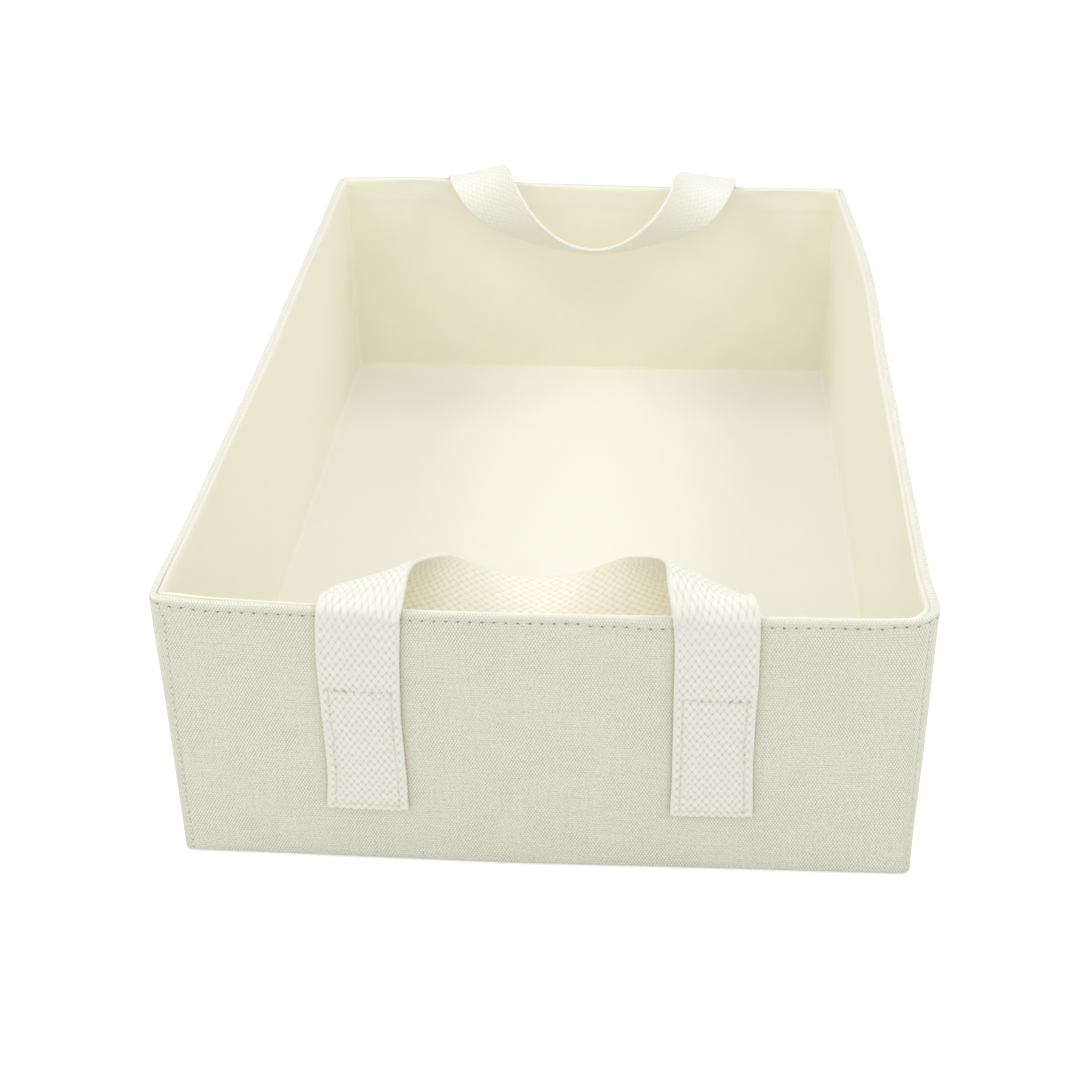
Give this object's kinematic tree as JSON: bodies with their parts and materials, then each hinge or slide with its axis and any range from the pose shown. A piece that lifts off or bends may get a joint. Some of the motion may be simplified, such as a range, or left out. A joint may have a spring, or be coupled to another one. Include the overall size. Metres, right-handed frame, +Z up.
{
  "type": "fabric storage tray",
  "caption": "Low rectangular storage tray of canvas over stiffening boards, lined inside, with a webbing carrying handle at each end that lies folded into the tray.",
  "frame": {"origin": "centre of the underside, where the tray rests", "axes": "+Z up, +Y along the tray's length from the front handle to the back handle, +X across the tray to the right as seen from the front"},
  "size_m": [0.275, 0.4314, 0.1223],
  "materials": {
    "canvas": "undyed plain-weave cotton and linen canvas, matt, greenish ivory",
    "lining": "fine smooth lining cloth, matt, warm ivory",
    "webbing": "coarse woven cotton webbing, matt, natural ivory",
    "board": "uncoated grey-brown board"
  },
  "bodies": {
    "tray": {"outer_front": "canvas", "outer_back": "canvas", "outer_left": "canvas", "outer_right": "canvas", "outer_base": "canvas", "board_front": "board", "board_back": "board", "board_left": "board", "board_right": "board", "board_base": "board", "lining_front": "lining", "lining_back": "lining", "lining_left": "lining", "lining_right": "lining", "lining_floor": "lining", "front_leg_left": "webbing", "front_leg_right": "webbing", "back_leg_left": "webbing", "back_leg_right": "webbing"},
    "front_handle": {"front_loop": "webbing"},
    "back_handle": {"back_loop": "webbing"}
  },
  "joints": [
    {"name": "front_handle_swing", "type": "hinge", "parent": "tray", "child": "front_handle", "pos_m": [0, -0.2097, 0.119], "axis": [1, 0, 0], "range_deg": [0, 120]},
    {"name": "back_handle_swing", "type": "hinge", "parent": "tray", "child": "back_handle", "pos_m": [0, 0.2097, 0.119], "axis": [-1, 0, 0], "range_deg": [0, 120]}
  ]
}
